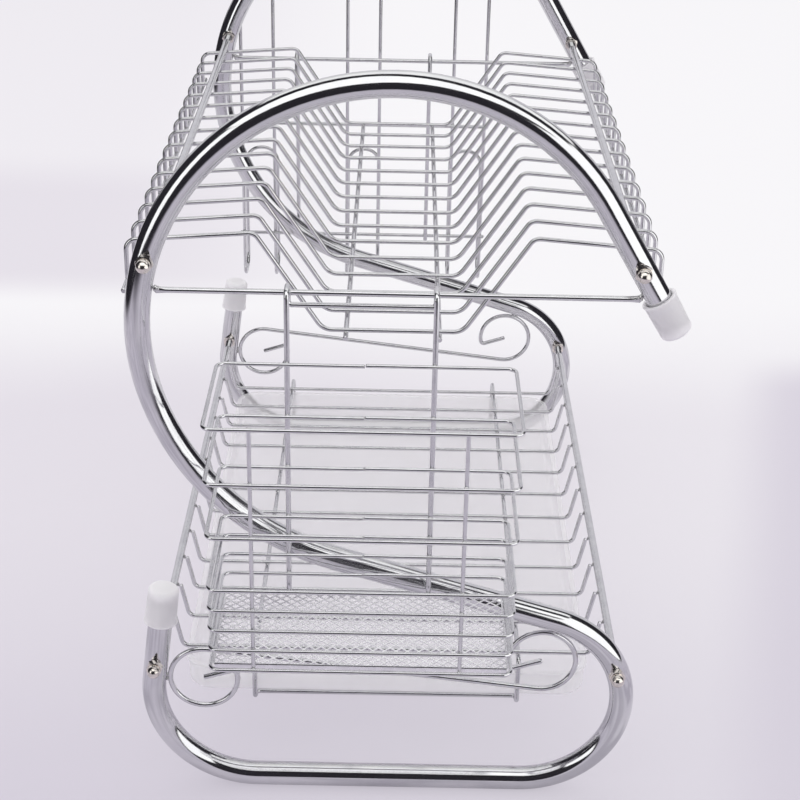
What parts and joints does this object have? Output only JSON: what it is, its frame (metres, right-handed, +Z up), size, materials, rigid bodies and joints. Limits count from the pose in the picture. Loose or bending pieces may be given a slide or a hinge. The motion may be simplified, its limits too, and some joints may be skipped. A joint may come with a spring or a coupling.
{
  "type": "two-tier dish rack",
  "caption": "Two-tier dish rack of chromed tube and wire with S-shaped end frames, drip tray, hanging cutlery basket and board holder.",
  "frame": {"origin": "the bottom centre of the bounding box, on the surface that the rack stands on", "axes": "+Z up, Y along the rack's length from the cutlery basket's end (-Y) to the board holder's end (+Y), +X towards the arches' free ends and the side that the tray slides out of"},
  "size_m": [0.2524, 0.4938, 0.3652],
  "materials": {
    "chrome_tube": "bright chrome plating on bent steel tube",
    "chrome_wire": "bright chrome plating on steel wire and rod",
    "nickel_nut": "nickel-plated steel, slightly warm",
    "translucent_plastic": "milky translucent polypropylene, satin"
  },
  "bodies": {
    "rack": {"acorn_nut_far_lower_left": "nickel_nut", "acorn_nut_far_lower_right": "nickel_nut", "acorn_nut_far_upper_left": "nickel_nut", "acorn_nut_far_upper_right": "nickel_nut", "acorn_nut_near_lower_left": "nickel_nut", "acorn_nut_near_lower_right": "nickel_nut", "acorn_nut_near_upper_left": "nickel_nut", "acorn_nut_near_upper_right": "nickel_nut", "end_cap_far_lower": "translucent_plastic", "end_cap_far_upper": "translucent_plastic", "end_cap_near_lower": "translucent_plastic", "end_cap_near_upper": "translucent_plastic", "hook_bar_far": "chrome_wire", "hook_bar_near": "chrome_wire", "lower_rod_left": "chrome_wire", "lower_rod_right": "chrome_wire", "lower_wire_01": "chrome_wire", "lower_wire_02": "chrome_wire", "lower_wire_03": "chrome_wire", "lower_wire_04": "chrome_wire", "lower_wire_05": "chrome_wire", "lower_wire_06": "chrome_wire", "lower_wire_07": "chrome_wire", "lower_wire_08": "chrome_wire", "lower_wire_09": "chrome_wire", "lower_wire_10": "chrome_wire", "lower_wire_11": "chrome_wire", "lower_wire_12": "chrome_wire", "s_frame_far": "chrome_tube", "s_frame_near": "chrome_tube", "scroll_far": "chrome_wire", "scroll_near": "chrome_wire", "tray_cradle": "chrome_wire", "upper_edge_left": "chrome_wire", "upper_edge_right": "chrome_wire", "upper_rod_left": "chrome_wire", "upper_rod_right": "chrome_wire", "upper_runner_left": "chrome_wire", "upper_runner_right": "chrome_wire", "upper_wire_01": "chrome_wire", "upper_wire_02": "chrome_wire", "upper_wire_03": "chrome_wire", "upper_wire_04": "chrome_wire", "upper_wire_05": "chrome_wire", "upper_wire_06": "chrome_wire", "upper_wire_07": "chrome_wire", "upper_wire_08": "chrome_wire", "upper_wire_09": "chrome_wire", "upper_wire_10": "chrome_wire", "upper_wire_11": "chrome_wire", "upper_wire_12": "chrome_wire", "upper_wire_13": "chrome_wire", "upper_wire_14": "chrome_wire", "upper_wire_15": "chrome_wire"},
    "tray": {"drip_tray": "translucent_plastic"},
    "basket": {"cutlery_basket": "chrome_wire", "cutlery_basket_floor": "chrome_wire"},
    "holder": {"board_holder": "chrome_wire"}
  },
  "joints": [
    {"name": "tray_slide", "type": "slide", "parent": "rack", "child": "tray", "axis": [1, 0, 0], "range_m": [0, 0.15]},
    {"name": "basket_lift", "type": "slide", "parent": "rack", "child": "basket", "axis": [0, 0, 1], "range_m": [0, 0.03]},
    {"name": "holder_lift", "type": "slide", "parent": "rack", "child": "holder", "axis": [0, 0, 1], "range_m": [0, 0.03]}
  ]
}
